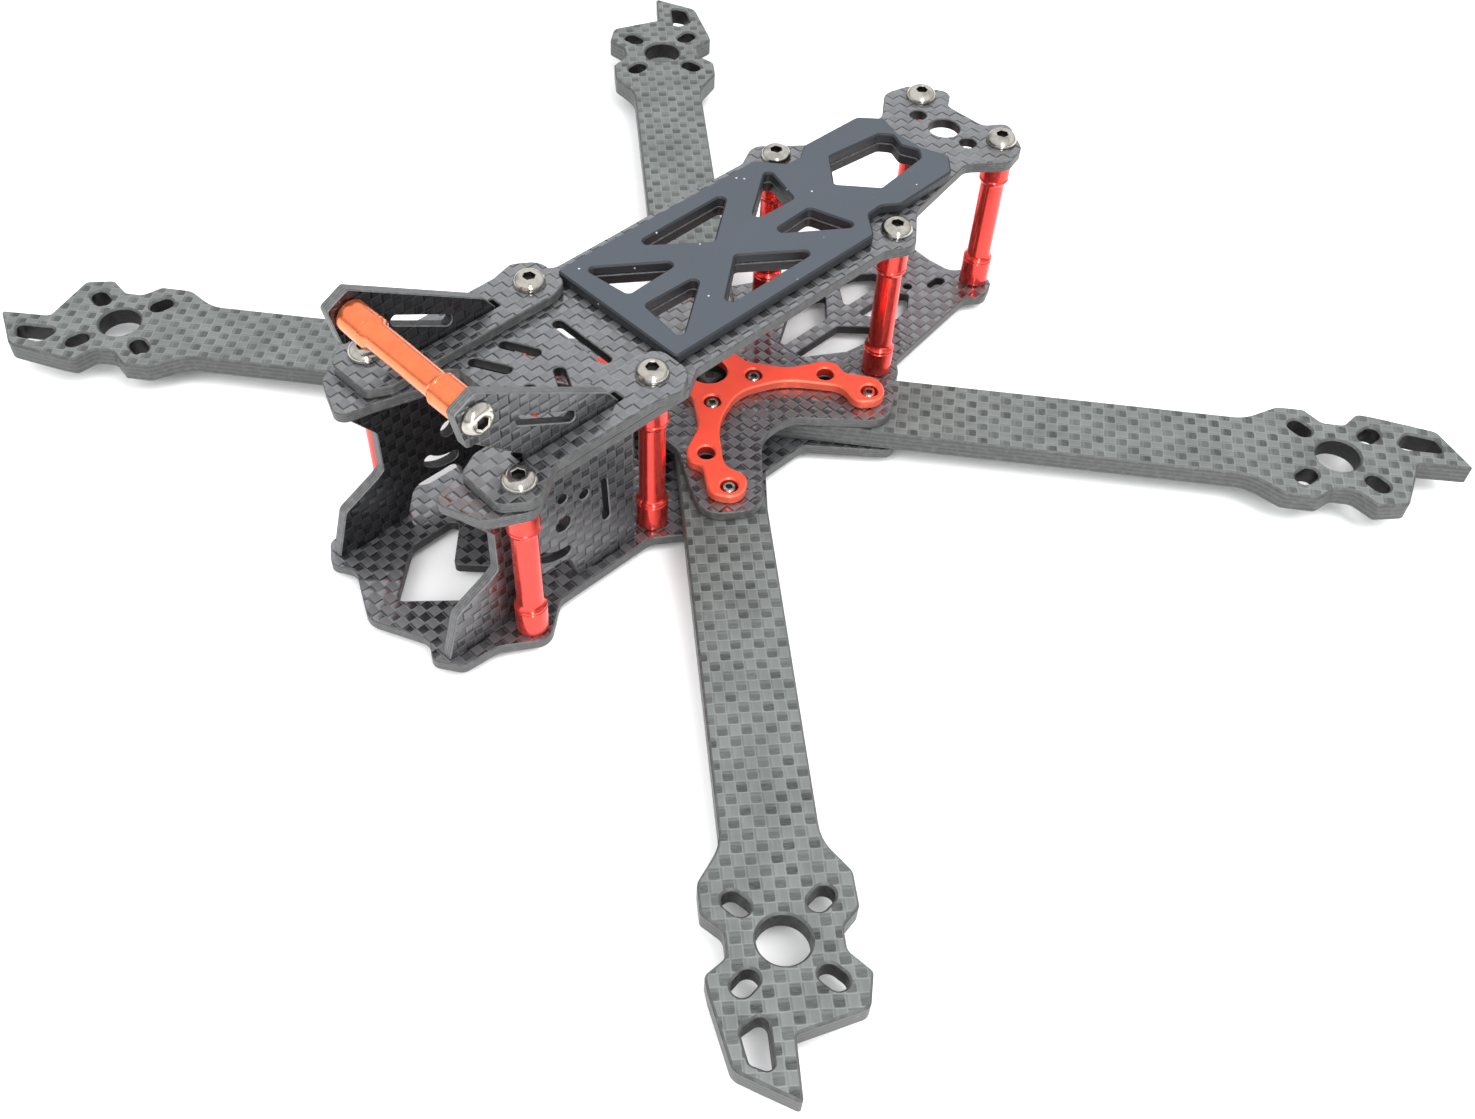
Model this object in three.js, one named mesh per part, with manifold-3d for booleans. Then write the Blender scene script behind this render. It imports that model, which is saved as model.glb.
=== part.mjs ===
// Carbon-fibre frame kit of a 5-inch class racing quadcopter, without motors or electronics.
// Millimetres, +Z up, nose towards -Y, left side towards +X.
// Origin: centre of the bounding box in plan, at the height of the lowest screw heads.
import * as THREE from "three";
import { mergeVertices } from "three/addons/utils/BufferGeometryUtils.js";
import Module from "manifold-3d";

const wasm = await Module();
wasm.setup();

// ---- Driving dimensions ----
const wheelbase = 230;          // diagonal distance between opposite motors
const armAngle = THREE.MathUtils.degToRad(38.5); // arm direction, measured from the X axis
const armHalfWidth = 7.5;
const armThickness = 4;
const plateThickness = 2;       // every other carbon plate, the press-nut plate and the pad
const standoffLength = 30;
const fit = 0.15;               // clearance around a tab in its slot
const seam = 0.2;               // each arm root stops this far from the frame's centre planes

// M3 hardware
const screwHead = {
  radius: 2.85,
  height: 1.65,
  shoulder: [2.56, 1.0],        // [radius, height] where the side turns in
  crown: 1.57,                  // radius of the flat top around the socket
  socket: 1.0,
  socketDepth: 1.0,
};
const shankRadius = 1.5;
const clearanceRadius = 1.6;
const socketSides = 6;

// Standoffs: two collars and a thinner waist, bored right through
const standoff = { collar: 2.8, waist: 2.3, collarLength: 6, chamfer: 0.8, bore: 1.65 };

// Pairs of standoff positions, [x, y] of the left one, rear to front
const posts = { rear: [10.0, 65.7], midrear: [15.0, 30.7], midfront: [15.3, -28.3], front: [19.5, -59.2] };
// Screws that clamp the arm roots, and the electronics pattern
const innerClamp = [6.5, 5.3];
const outerClamp = [23.8, 17.95];
const stackHalf = 15.25;        // 30.5 mm square pattern

// Vertical plates of the camera cage and the horns above the deck
const cageInner = 14.3;         // inner face of the cage plates and of the horns
const hornBar = [-63.3, 43.2];  // [y, height above the arms' top face] of the bar between the horns

// ---- Heights, from the lowest screw head up ----
const zBottom = screwHead.height;
const zArm = zBottom + plateThickness;
const zMid = zArm + armThickness;
const zNut = zMid + plateThickness;
const zTop = zArm + standoffLength;
const zPad = zTop + plateThickness;
const zPadTop = zPad + plateThickness;

// ---- Colours ----
const paint = {
  carbon: new THREE.MeshStandardMaterial({ color: 0x7d8083, roughness: 0.45, metalness: 0.1 }),
  cage: new THREE.MeshStandardMaterial({ color: 0x1d1e21, roughness: 0.4, metalness: 0.1 }),
  pad: new THREE.MeshStandardMaterial({ color: 0x69727d, roughness: 0.85, metalness: 0 }),
  nutPlate: new THREE.MeshStandardMaterial({ color: 0xf04a30, roughness: 0.5, metalness: 0.5 }),
  red: new THREE.MeshStandardMaterial({ color: 0xe0382c, roughness: 0.3, metalness: 0.8 }),
  steel: new THREE.MeshStandardMaterial({ color: 0xc8c8c4, roughness: 0.25, metalness: 1 }),
};

// ---- Outlines ----
const arcStep = THREE.MathUtils.degToRad(30);
const straight = 0.02;          // radians; a corner this flat isn't rounded

// Points of a closed outline whose corners [x, y, radius] are rounded with tangent arcs.
function rounded(corners) {
  const points = [];
  const count = corners.length;
  for (let i = 0; i < count; i += 1) {
    const here = new THREE.Vector2(corners[i][0], corners[i][1]);
    const before = new THREE.Vector2(...corners[(i + count - 1) % count].slice(0, 2));
    const after = new THREE.Vector2(...corners[(i + 1) % count].slice(0, 2));
    const radius = corners[i][2] || 0;
    const into = here.clone().sub(before).normalize();
    const out = after.clone().sub(here).normalize();
    const turn = Math.atan2(into.cross(out), into.dot(out));
    if (radius === 0 || Math.abs(turn) < straight) {
      points.push(here);
      continue;
    }
    const side = Math.sign(turn);
    const start = here.clone().addScaledVector(into, -radius * Math.tan(Math.abs(turn) / 2));
    const centre = new THREE.Vector2(-into.y, into.x).multiplyScalar(side * radius).add(start);
    const steps = Math.max(1, Math.round(Math.abs(turn) / arcStep));
    for (let k = 0; k <= steps; k += 1) {
      points.push(start.clone().rotateAround(centre, (turn * k) / steps));
    }
  }
  return points;
}

// Corners of the mirrored half of an outline, in reverse order so that they carry on round it.
const mirrorX = (corners) => corners.map(([x, y, r]) => [-x, y, r]).reverse();
const mirrorY = (corners) => corners.map(([x, y, r]) => [x, -y, r]).reverse();
const bothSides = (corners) => [...corners, ...mirrorX(corners)];
const pair = (corners) => [rounded(corners), rounded(mirrorX(corners))];

const roundSides = 12;          // facets of a small hole, screw or standoff
const smallSides = 8;           // the tie holes
const motorSides = 20;

function circle([x, y], radius, sides = roundSides) {
  const points = [];
  for (let k = 0; k < sides; k += 1) {
    const a = (2 * Math.PI * k) / sides;
    points.push(new THREE.Vector2(x + radius * Math.cos(a), y + radius * Math.sin(a)));
  }
  return points;
}

// Round-ended slot from one centre to the other.
function slot([x0, y0], [x1, y1], width) {
  const along = Math.atan2(y1 - y0, x1 - x0);
  const capSteps = 4;
  const points = [];
  for (const [x, y, start] of [[x1, y1, along - Math.PI / 2], [x0, y0, along + Math.PI / 2]]) {
    for (let k = 0; k <= capSteps; k += 1) {
      const a = start + (Math.PI * k) / capSteps;
      points.push(new THREE.Vector2(x + (width / 2) * Math.cos(a), y + (width / 2) * Math.sin(a)));
    }
  }
  return points;
}

// Slot bent about a centre, from one angle to the other.
function arcSlot([x, y], { radius, from, to, width }) {
  const first = THREE.MathUtils.degToRad(from);
  const last = THREE.MathUtils.degToRad(to);
  const steps = 4;
  const ray = (a, r) => new THREE.Vector2(r * Math.cos(a), r * Math.sin(a));
  const at = (a, r) => ray(a, r).add(new THREE.Vector2(x, y));
  const points = [];
  for (let k = 0; k <= steps; k += 1) {
    points.push(at(first + ((last - first) * k) / steps, radius + width / 2));
  }
  for (let k = 1; k < steps; k += 1) {
    points.push(at(last, radius).add(ray(last + (Math.PI * k) / steps, width / 2)));
  }
  for (let k = steps; k >= 0; k -= 1) {
    points.push(at(first + ((last - first) * k) / steps, radius - width / 2));
  }
  for (let k = 1; k < steps; k += 1) {
    points.push(at(first, radius).add(ray(first + Math.PI + (Math.PI * k) / steps, width / 2)));
  }
  return points;
}

const box = (x0, x1, y0, y1) => rounded([[x0, y0, 0], [x1, y0, 0], [x1, y1, 0], [x0, y1, 0]]);
const fourWays = ([x, y]) => [[x, y], [-x, y], [-x, -y], [x, -y]];
const twoWays = ([x, y]) => [[x, y], [-x, y]];

// ---- Solids ----
const object = new THREE.Group();

function place(name, geometry, material, x = 0, y = 0, z = 0) {
  const mesh = new THREE.Mesh(geometry, material);
  mesh.name = name;
  mesh.position.set(x, y, z);
  object.add(mesh);
  return mesh;
}

function prism(outline, depth) {
  return new THREE.ExtrudeGeometry(new THREE.Shape(outline), { depth, bevelEnabled: false });
}

// Flat plate standing on z = 0, with its holes cut right through.
function plate(outline, holes, thickness = plateThickness) {
  const margin = 1;
  let solid = toSolid(prism(outline, thickness));
  for (const hole of holes) {
    const cutter = prism(hole, thickness + 2 * margin).translate(0, 0, -margin);
    solid = solid.subtract(toSolid(cutter));
  }
  return toGeometry(solid);
}

// A plate drawn in Y and Z and as thick as the others along X.
function uprightPlate(outline, holes) {
  const turn = new THREE.Matrix4().makeBasis(
    new THREE.Vector3(0, 1, 0),
    new THREE.Vector3(0, 0, 1),
    new THREE.Vector3(1, 0, 0),
  );
  return plate(outline, holes).applyMatrix4(turn);
}

const weldDistance = 1e-4;

function toSolid(geometry) {
  const bare = geometry.index ? geometry.toNonIndexed() : geometry.clone();
  bare.deleteAttribute("normal");
  bare.deleteAttribute("uv");
  const merged = mergeVertices(bare, weldDistance);
  return new wasm.Manifold(new wasm.Mesh({
    numProp: 3,
    vertProperties: merged.attributes.position.array,
    triVerts: new Uint32Array(merged.index.array),
  }));
}

function toGeometry(solid) {
  const mesh = solid.getMesh();
  const geometry = new THREE.BufferGeometry();
  geometry.setAttribute("position", new THREE.BufferAttribute(mesh.vertProperties, 3));
  geometry.setIndex(new THREE.BufferAttribute(mesh.triVerts, 1));
  geometry.computeVertexNormals();
  return geometry;
}

// Turned piece about +Z from a profile of [radius, height] points.
function turned(profile) {
  const points = profile.map(([r, h]) => new THREE.Vector2(r, h));
  return new THREE.LatheGeometry(points, roundSides).rotateX(Math.PI / 2);
}

// Button-head screw: the head stands on z = 0 and the shank points down.
function screw(length) {
  const { radius, height, crown, shoulder, socket, socketDepth } = screwHead;
  const body = turned([
    [0, -length],
    [shankRadius, -length],
    [shankRadius, 0],
    [radius, 0],
    shoulder,
    [crown, height],
    [0, height],
  ]);
  const hexagon = circle([0, 0], socket / Math.cos(Math.PI / socketSides), socketSides);
  const key = prism(hexagon, height).translate(0, 0, height - socketDepth);
  return toGeometry(toSolid(body).subtract(toSolid(key)));
}

// Standoff standing on z = 0, collars at both ends.
function post(length) {
  const { collar, waist, collarLength, chamfer, bore } = standoff;
  return turned([
    [bore, 0],
    [collar, 0],
    [collar, collarLength],
    [waist, collarLength + chamfer],
    [waist, length - collarLength - chamfer],
    [collar, length - collarLength],
    [collar, length],
    [bore, length],
    [bore, 0],
  ]);
}

// ---- Arms ----
// Corners are [along, across, radius], along outward from the motor's centre.
const motorAt = wheelbase / 2;
const cos = Math.cos(armAngle);
const sin = Math.sin(armAngle);
const rootNear = (seam + armHalfWidth * sin) / cos;  // where one edge meets the seam
const rootFar = (seam + armHalfWidth * cos) / sin;   // where the other edge meets it
const armCorners = [
  [rootNear - motorAt, -armHalfWidth, 0],
  [-16, -armHalfWidth, 8],
  [-9.9, -11.5, 2.5],
  [-4.9, -11.5, 1.2],
  [-1.9, -8.4, 2],
  [2.1, -8.4, 2],
  [4.7, -11.8, 1.2],
  [7.5, -11.5, 4],
  [18.7, -9.3, 2.4],
  [24.0, -0.3, 0.5],
  [14.2, -0.1, 1],
  [11.1, 10.7, 1.5],
  [5.7, 11.9, 1],
  [2.2, 8.7, 2],
  [-1.5, 8.7, 2],
  [-4.4, 11.5, 1.5],
  [-10.4, 11.4, 2.5],
  [-16, armHalfWidth, 8],
  [rootFar - motorAt, armHalfWidth, 0],
  [seam * (cos + sin) - motorAt, seam * (sin - cos), 0],
];
const footWindow = [[10.4, -3.6, 1.2], [19.6, -3.6, 1.0], [18.0, -6.9, 1.0], [12.9, -7.8, 1.4]];
const motorShaftRadius = 4;
const motorSlot = { inner: 8, outer: 9.5, width: 3.2 };

function arm(sideX, sideY) {
  const lay = (points) => points.map(({ x, y }) => {
    const along = x + motorAt;
    return new THREE.Vector2(sideX * (along * cos + y * sin), sideY * (along * sin - y * cos));
  });
  const holes = [circle([0, 0], motorShaftRadius, motorSides), rounded(footWindow)];
  for (let k = 0; k < 4; k += 1) {
    const a = Math.PI / 4 + (k * Math.PI) / 2;
    const from = [motorSlot.inner * Math.cos(a), motorSlot.inner * Math.sin(a)];
    const to = [motorSlot.outer * Math.cos(a), motorSlot.outer * Math.sin(a)];
    holes.push(slot(from, to, motorSlot.width));
  }
  const through = [innerClamp, outerClamp, [stackHalf, stackHalf]];
  const roots = through.map(([x, y]) => circle([sideX * x, sideY * y], clearanceRadius));
  return plate(lay(rounded(armCorners)), [...holes.map(lay), ...roots], armThickness);
}

for (const [name, sideX, sideY] of [
  ["arm_front_left", 1, -1],
  ["arm_rear_left", 1, 1],
  ["arm_rear_right", -1, 1],
  ["arm_front_right", -1, -1],
]) {
  place(name, arm(sideX, sideY), paint.carbon, 0, 0, zArm);
}

// ---- Camera cage plates ----
// Each stands on the bottom plate and runs up through a slot in the deck into a horn.
// Corners are [y, height above the arms' top face].
const bottomTabs = [[-71, -66], [-43, -37]];
const hornSlot = [-56.2, -35.6];
const hornNeck = [-54.6, -36.4];
const cageTop = zTop - zMid;
const cageBottom = zArm - zMid;
const deckTop = zPadTop - zMid;
const tab = ([from, to]) => [
  [to, cageBottom, 0],
  [to, cageBottom - plateThickness, 0],
  [from, cageBottom - plateThickness, 0],
  [from, cageBottom, 0],
];
const cageOutline = rounded([
  [-67.6, cageTop, 0.4],
  [hornNeck[0], cageTop, 0],
  [hornNeck[0], deckTop, 0.5],
  [-64.2, 38.5, 0.8],
  [-65.6, 38.1, 1.0],
  [-67.2, 45.8, 0.8],
  [-63.0, 47.8, 0.8],
  [-38.4, 32.8, 2],
  [hornNeck[1], deckTop, 0],
  [hornNeck[1], cageTop, 0],
  [-33.2, cageTop, 0.4],
  [-33.2, cageBottom, 0.4],
  ...tab(bottomTabs[1]),
  [-46.2, cageBottom, 0],
  [-48, 1.8, 2.5],
  [-57.4, 1.8, 2.5],
  [-59.4, cageBottom, 0],
  ...tab(bottomTabs[0]),
  [-74.2, cageBottom, 0.4],
  [-71.3, 5.2, 1.5],
  [-64.2, 8.5, 1],
  [-62.7, 9.6, 0.6],
  [-62.7, 18, 1.5],
  [-67.7, 24.4, 1],
]);
const cameraPivot = [-48.8, 10.4];
const tiltSlot = { radius: 6.7, from: 224, to: 272, width: 2.1 };  // about the pivot, in degrees
const cageTieRadius = 1.0;
const cageHoles = [
  circle(hornBar, clearanceRadius),
  rounded([[-57.3, 39.7, 0.8], [-45.2, 33.2, 0.8], [-45.3, 31.0, 0.8], [-56.2, 37.1, 0.8]]),
  circle(cameraPivot, clearanceRadius),
  arcSlot(cameraPivot, tiltSlot),
  slot([-39.6, 5.8], [-40.0, 14.0], 1.6),
  circle([-44.2, 14.2], cageTieRadius, smallSides),
  circle([-48.7, 16.2], cageTieRadius, smallSides),
];
for (const [name, x] of [["cage_plate_left", cageInner], ["cage_plate_right", -cageInner - plateThickness]]) {
  place(name, uprightPlate(cageOutline, cageHoles), paint.cage, x, 0, zMid);
}

// ---- Bottom plate ----
const slotsForTabs = (tabs) => tabs.flatMap(([from, to]) => {
  const near = cageInner - fit;
  const far = cageInner + plateThickness + fit;
  return [box(near, far, from - fit, to + fit), box(-far, -near, from - fit, to + fit)];
});
const postHoles = Object.values(posts).flatMap(twoWays).map((p) => circle(p, clearanceRadius));
const coreHoles = [innerClamp, outerClamp, [stackHalf, stackHalf]]
  .flatMap(fourWays).map((p) => circle(p, clearanceRadius));

const bottomLeft = [
  [10.3, -73.8, 2.5], [14.2, -76.2, 1.8], [18.7, -73.2, 2], [19.2, -66.4, 5], [23.9, -59, 3.2],
  [18.4, -52.2, 3], [18.4, -31.5, 4], [21.5, -27, 3], [32.8, -16.4, 2], [20.4, -4.9, 1.5],
  [20.4, 4.9, 1.5], [32.8, 16.3, 2], [21.5, 27.6, 4], [18.8, 33, 3], [16.1, 35.4, 3],
  [12.9, 59.6, 3], [15.4, 62.8, 2.5], [13.4, 67.4, 2.5], [8.2, 69.4, 2], [5.2, 64.2, 3],
];
const noseOpening = [
  [0, -72.8, 1], [8.2, -63.4, 2], [8.3, -52.6, 1.2], [0, -60.6, 1], [-8.3, -52.6, 1.2], [-8.2, -63.4, 2],
];
const rearWindows = [
  ...pair([[1.6, 20.2, 0.8], [1.6, 34.4, 0.8], [6.9, 39.7, 0.8], [8.6, 34.4, 1.2], [7.8, 30, 1.2]]),
  ...pair([[1.5, 39.6, 0.8], [8.0, 44.6, 0.8], [7.2, 48.6, 1], [4.4, 52.3, 0.8], [1.5, 49.6, 0.8]]),
];
const tailSlotWidth = 2;
const tailTieRadius = 0.9;
const tailHoles = [1, -1].flatMap((s) => [
  slot([s * 5.8, 57.9], [s * 5.8, 60.1], tailSlotWidth),
  circle([s * 2.6, 53.9], tailTieRadius, smallSides),
]);
place("bottom_plate", plate(
  rounded([[0, -78.8, 4], ...bottomLeft, [0, 63.8, 0], ...mirrorX(bottomLeft)]),
  [rounded(noseOpening), ...rearWindows, ...tailHoles, ...slotsForTabs(bottomTabs),
    ...postHoles, ...coreHoles],
), paint.carbon, 0, 0, zBottom);

// ---- Mid plate and press-nut plate ----
const around = (quarter) => bothSides([...quarter, ...mirrorY(quarter)]);
const midQuarter = [
  [10.1, -17.2, 4], [17.6, -21.6, 4], [24.6, -25, 4.6], [30.6, -16.2, 4.4], [17.6, -3.6, 6],
];
const midHoles = [circle([0, 0], motorShaftRadius, motorSides), ...coreHoles];
place("mid_plate", plate(rounded(around(midQuarter)), midHoles), paint.carbon, 0, 0, zMid);

const nutQuarter = [
  [3.0, -7.0, 3], [9.4, -11.4, 8], [12.2, -17.2, 2], [14.6, -19.2, 1.8], [17.2, -18.0, 2.2],
  [22.8, -21.9, 3], [27.9, -18.6, 3], [24.2, -13.6, 2.6], [19.8, -15.3, 4], [11.2, -8.5, 14], [8.4, -1.6, 8],
];
const nutBoreRadius = 3.5;
const nutHoles = [circle([0, 0], nutBoreRadius, motorSides), ...coreHoles];
place("press_nut_plate", plate(rounded(around(nutQuarter)), nutHoles), paint.nutPlate, 0, 0, zNut);

// ---- Top plate ----
const topLeft = [
  [8.2, -49.3, 1.2], [10.0, -51.4, 2], [8.3, -56, 3], [10.9, -64.6, 4], [12.2, -70.6, 2], [21.0, -67.1, 3],
  [24.6, -60, 3.4], [20.3, -53.4, 3], [20.3, -24.8, 2], [17.7, -20.6, 2], [17.7, 24.6, 2], [20.4, 29.8, 3],
  [13.6, 37.8, 3], [10.4, 55, 3], [15.6, 61.4, 3], [14.2, 66.8, 3], [7.2, 71.4, 2], [4.4, 67.2, 2],
];
const padWindows = [
  rounded([[0, 30.3, 0.8], [6.4, 35.9, 1], [5.1, 48.0, 1.2], [3.1, 49.6, 1], [0, 48.3, 1],
    [-3.1, 49.6, 1], [-5.1, 48.0, 1.2], [-6.4, 35.9, 1]]),
  ...pair([[2.3, 11.4, 0.9], [12.0, 25.0, 0.9], [1.9, 21.8, 0.9]]),
  ...pair([[11.2, -8.4, 0.9], [11.2, 14.4, 0.9], [2.6, 2.7, 0.9]]),
  ...pair([[2.0, -17.8, 0.9], [12.4, -19.0, 0.9], [2.4, -5.2, 0.9]]),
];
const deckSlotWidth = 2;
const deckSlots = [
  slot([-5.9, -30], [5.9, -30], deckSlotWidth),
  ...[1, -1].flatMap((s) => [
    slot([s * 3.1, -37.4], [s * 7.9, -39.9], deckSlotWidth),
    slot([s * 3.0, -43.6], [s * 7.9, -46.3], deckSlotWidth),
  ]),
];
const antennaRadius = 2.95;
const antennaHole = circle([0, 61.0], antennaRadius, motorSides);
const tieHoles = twoWays([6.2, 60.6]).map((p) => circle(p, clearanceRadius));
place("top_plate", plate(
  rounded(bothSides(topLeft)),
  [...padWindows, ...deckSlots, antennaHole, ...tieHoles, ...slotsForTabs([hornSlot]), ...postHoles],
), paint.carbon, 0, 0, zTop);

// ---- Battery pad ----
const padLeft = [
  [14.9, -22.7, 1], [14.9, 24.6, 1.5], [10.2, 28.3, 1.5], [10.0, 31.8, 1.5], [12.1, 35, 1],
  [11.8, 48.9, 2], [8, 52.5, 1.2], [3, 50.7, 1],
];
place("battery_pad", plate(rounded(bothSides(padLeft)), padWindows), paint.pad, 0, 0, zPad);

// ---- Deck prongs ----
const prongCorners = [
  [10.2, -60.5, 1.5], [12.2, -64.6, 1.5], [21.2, -64.8, 2.4], [24.8, -59.6, 3], [20.5, -53.2, 3],
  [20.5, -31.9, 1], [21.6, -27.4, 2], [18.8, -23.2, 3.5], [11.6, -23.2, 3], [10.2, -27.0, 2],
];
for (const [name, side] of [["prong_left", 1], ["prong_right", -1]]) {
  const corners = side > 0 ? prongCorners : mirrorX(prongCorners);
  const bores = [posts.midfront, posts.front].map(([x, y]) => circle([side * x, y], clearanceRadius));
  const opening = slotsForTabs([hornSlot])[side > 0 ? 0 : 1];
  place(name, plate(rounded(corners), [...bores, opening]), paint.carbon, 0, 0, zPad);
}

// ---- Standoffs and their screws ----
const postThread = 4;           // length of screw inside a standoff
const lowerLength = plateThickness + postThread;
for (const [station, position] of Object.entries(posts)) {
  const raised = station === "midfront" || station === "front";
  const seat = raised ? zPadTop : zPad;
  for (const [side, [x, y]] of [["left", position], ["right", [-position[0], position[1]]]]) {
    place(`standoff_${station}_${side}`, post(standoffLength), paint.red, x, y, zArm);
    place(`screw_top_${station}_${side}`, screw(seat - zTop + postThread), paint.steel, x, y, seat);
    const low = place(`screw_bottom_${station}_${side}`, screw(lowerLength), paint.steel, x, y, zBottom);
    low.rotation.x = Math.PI;
  }
}

// ---- Arm clamp screws, from below up to the top of the press-nut plate ----
const clampLength = zNut + plateThickness - zBottom;
const corner = { front_left: [1, -1], rear_left: [1, 1], rear_right: [-1, 1], front_right: [-1, -1] };
for (const [where, [sideX, sideY]] of Object.entries(corner)) {
  for (const [ring, [x, y]] of [["inner", innerClamp], ["outer", outerClamp]]) {
    const name = `screw_${ring}_${where}`;
    const clamp = place(name, screw(clampLength), paint.steel, sideX * x, sideY * y, zBottom);
    clamp.rotation.x = Math.PI;
  }
}

// ---- Bar between the horns and its two screws ----
const barHeight = zMid + hornBar[1];
place("horn_bar", post(2 * cageInner).rotateY(Math.PI / 2), paint.red, -cageInner, hornBar[0], barHeight);
for (const [name, side] of [["screw_horn_left", 1], ["screw_horn_right", -1]]) {
  const face = side * (cageInner + plateThickness);
  const hornScrew = screw(lowerLength).rotateY((side * Math.PI) / 2);
  place(name, hornScrew, paint.steel, face, hornBar[0], barHeight);
}

export default object;
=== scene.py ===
"""Looks of the bare frame of a racing quadcopter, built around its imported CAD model.

Every carbon plate, red part, screw and the pad is rebuilt here with fine arcs, chamfers and procedural
materials, in the place of its CAD node. Sizes are in millimetres until MM turns them into metres.
"""

import math

import bpy
from mathutils import Euler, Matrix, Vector
from mathutils.geometry import tessellate_polygon


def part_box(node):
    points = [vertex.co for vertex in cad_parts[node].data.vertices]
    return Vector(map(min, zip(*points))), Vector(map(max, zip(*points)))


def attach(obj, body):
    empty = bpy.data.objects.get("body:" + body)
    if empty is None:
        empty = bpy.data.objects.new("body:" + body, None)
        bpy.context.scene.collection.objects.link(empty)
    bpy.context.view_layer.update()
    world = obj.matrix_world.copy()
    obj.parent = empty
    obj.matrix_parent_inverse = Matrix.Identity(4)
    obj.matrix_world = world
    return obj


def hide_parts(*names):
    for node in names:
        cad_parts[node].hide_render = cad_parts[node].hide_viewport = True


MM = 0.001
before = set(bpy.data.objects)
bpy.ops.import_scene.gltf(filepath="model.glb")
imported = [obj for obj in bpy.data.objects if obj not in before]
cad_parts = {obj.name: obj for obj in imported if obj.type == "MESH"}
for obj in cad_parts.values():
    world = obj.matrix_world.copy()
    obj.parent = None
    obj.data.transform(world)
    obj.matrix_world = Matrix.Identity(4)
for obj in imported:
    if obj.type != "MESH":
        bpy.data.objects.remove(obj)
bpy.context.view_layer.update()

# ---- Driving dimensions, in millimetres ----
WHEELBASE = 230.0
ARM_ANGLE = math.radians(38.5)
ARM_HALF_WIDTH = 7.5
PLATE = 2.0
ARM = 4.0
STANDOFF = 30.0
SEAM = 0.2                      # gap between an arm's root and the frame's centre planes
FIT = 0.15                      # clearance around a tab in its slot
HEAD_RADIUS = 2.85
HEAD_HEIGHT = 1.65
SHANK_RADIUS = 1.5
THREAD = 4.0                    # length of screw inside a standoff
SOCKET_HALF = 1.0               # half the hexagon's width across its flats
SOCKET_DEPTH = 1.0
SHAFT_HOLE = 4.0
MOTOR_SLOT = (8.0, 9.5, 3.2)    # inner and outer centre from the motor's axis, and width
NUT_BORE_RADIUS = 3.5
ANTENNA_RADIUS = 2.95
PLATE_BEVEL = 0.18
PRONG_BEVEL = 0.22
SOFT_BEVEL = 0.3                # of the press-nut plate and the pad
ARM_BEVEL = 0.38
STRAIGHT = 0.02                 # radians; a corner this flat isn't rounded
CLEARANCE = 1.6                 # radius of the holes that the screws pass through
CAGE_INNER = 14.3               # inner face of the cage plates
STACK_HALF = 15.25
INNER_CLAMP = (6.5, 5.3)
OUTER_CLAMP = (23.8, 17.95)
CORE_SCREWS = (INNER_CLAMP, OUTER_CLAMP, (STACK_HALF, STACK_HALF))
HORN_BAR = (-63.3, 43.2)        # (y, height above the arms' top face) of the bar's axis
POSTS = {
    "rear": (10.0, 65.7),
    "midrear": (15.0, 30.7),
    "midfront": (15.3, -28.3),
    "front": (19.5, -59.2),
}
HANDS = (("left", 1), ("right", -1))
CORNERS = {"front_left": (1, -1), "rear_left": (1, 1), "rear_right": (-1, 1), "front_right": (-1, -1)}

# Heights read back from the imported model
Z_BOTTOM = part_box("bottom_plate")[0].z / MM
Z_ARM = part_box("arm_front_left")[0].z / MM
Z_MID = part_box("mid_plate")[0].z / MM
Z_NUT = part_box("press_nut_plate")[0].z / MM
Z_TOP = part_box("top_plate")[0].z / MM
Z_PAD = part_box("battery_pad")[0].z / MM
Z_PAD_TOP = Z_PAD + PLATE


# ---- Outlines ----
def rounded(corners, step=math.radians(7.5)):
    """Points of a closed outline whose corners (x, y, radius) are rounded with tangent arcs."""
    points = []
    count = len(corners)
    for i, (x, y, radius) in enumerate(corners):
        here = Vector((x, y))
        before = Vector(corners[i - 1][:2])
        after = Vector(corners[(i + 1) % count][:2])
        into = (here - before).normalized()
        out = (after - here).normalized()
        turn = math.atan2(into.x * out.y - into.y * out.x, into.dot(out))
        if radius == 0 or abs(turn) < STRAIGHT:
            points.append(here)
            continue
        side = math.copysign(1.0, turn)
        start = here - into * radius * math.tan(abs(turn) / 2)
        centre = start + Vector((-into.y, into.x)) * side * radius
        arm = start - centre
        steps = max(2, math.ceil(abs(turn) / step))
        for k in range(steps + 1):
            a = turn * k / steps
            c, s = math.cos(a), math.sin(a)
            points.append(centre + Vector((arm.x * c - arm.y * s, arm.x * s + arm.y * c)))
    return points


def mirror_x(corners):
    return [(-x, y, r) for x, y, r in reversed(corners)]


def mirror_y(corners):
    return [(x, -y, r) for x, y, r in reversed(corners)]


def both_sides(corners):
    return list(corners) + mirror_x(corners)


def pair(corners):
    return [rounded(corners), rounded(mirror_x(corners))]


def circle(centre, radius, sides=40):
    turns = [k * 2 * math.pi / sides for k in range(sides)]
    return [Vector((centre[0] + radius * math.cos(a), centre[1] + radius * math.sin(a))) for a in turns]


def slot(start, end, width, cap=12):
    """Round-ended slot from one centre to the other."""
    along = math.atan2(end[1] - start[1], end[0] - start[0])
    points = []
    for centre, first in ((end, along - math.pi / 2), (start, along + math.pi / 2)):
        for k in range(cap + 1):
            a = first + math.pi * k / cap
            points.append(Vector((centre[0] + width / 2 * math.cos(a),
                                  centre[1] + width / 2 * math.sin(a))))
    return points


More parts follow.
